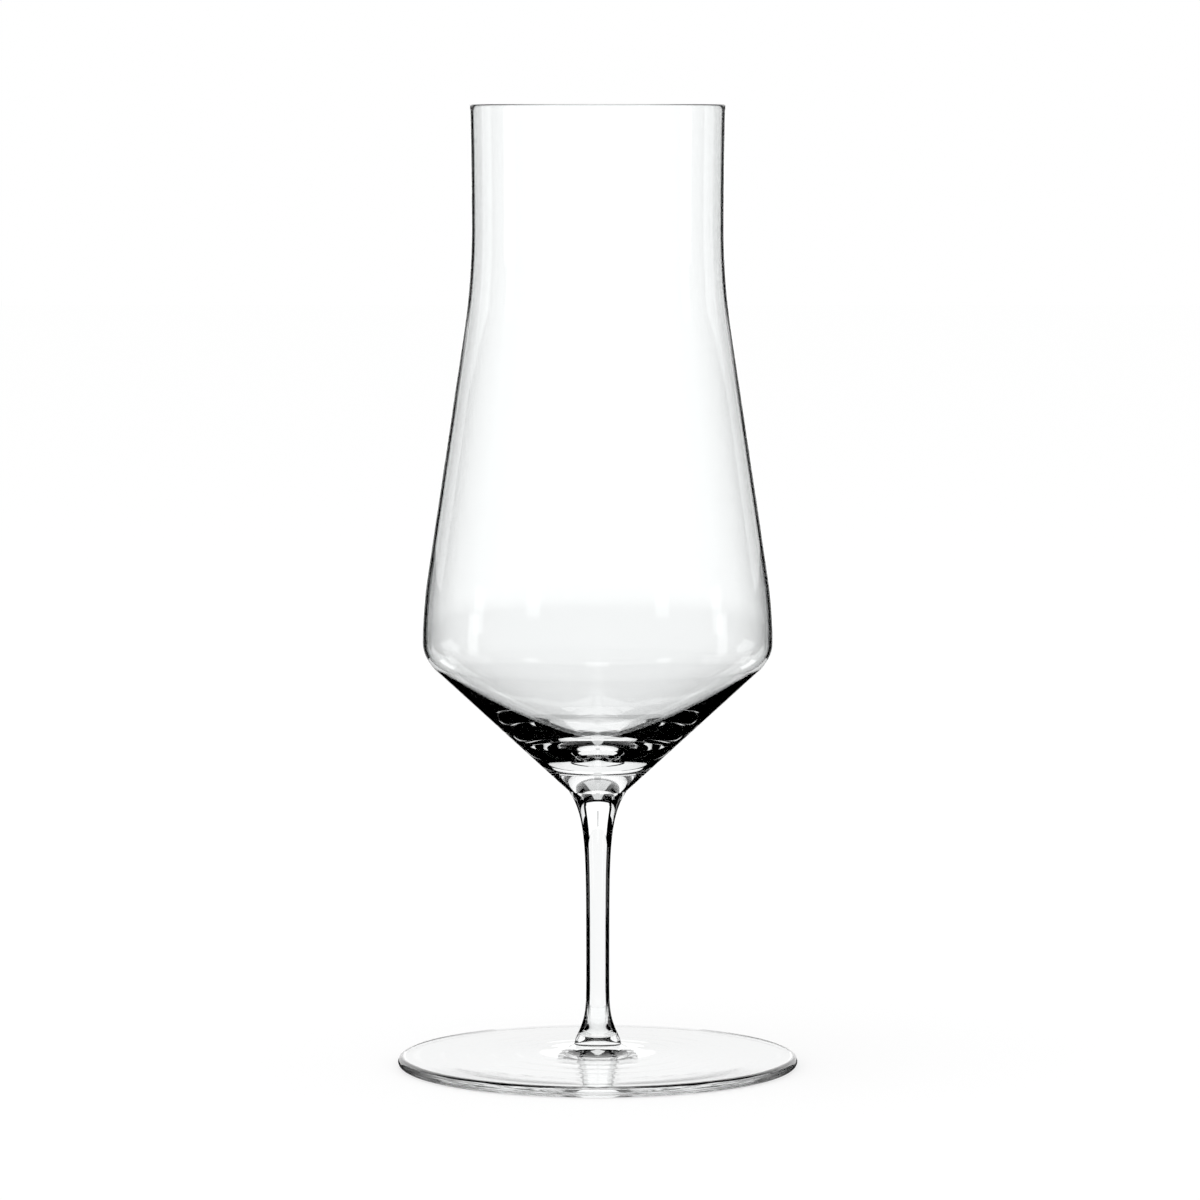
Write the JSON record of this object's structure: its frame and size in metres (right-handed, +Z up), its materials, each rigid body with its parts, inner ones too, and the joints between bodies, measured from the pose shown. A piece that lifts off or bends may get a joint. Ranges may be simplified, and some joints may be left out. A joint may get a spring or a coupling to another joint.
{
  "type": "stemmed tasting glass",
  "caption": "Clear stemmed glass for tasting spirits: tall narrow chimney over a tapered belly and a wide cone, on a thin drawn stem and a flat round foot.",
  "frame": {"origin": "on the glass's axis, at the level of the ring the foot rests on", "axes": "+Z up along the glass's axis from the foot to the rim, +X to the right of the picture, +Y away from its camera"},
  "size_m": [0.0716, 0.0716, 0.1713],
  "materials": {
    "blown_glass": "fire-polished, clear and colourless",
    "drawn_glass": "fire-polished, clear and colourless",
    "pressed_glass": "fire-polished, clear and colourless"
  },
  "bodies": {
    "root": {"bowl": "blown_glass", "stem": "drawn_glass", "foot": "pressed_glass"}
  },
  "joints": []
}
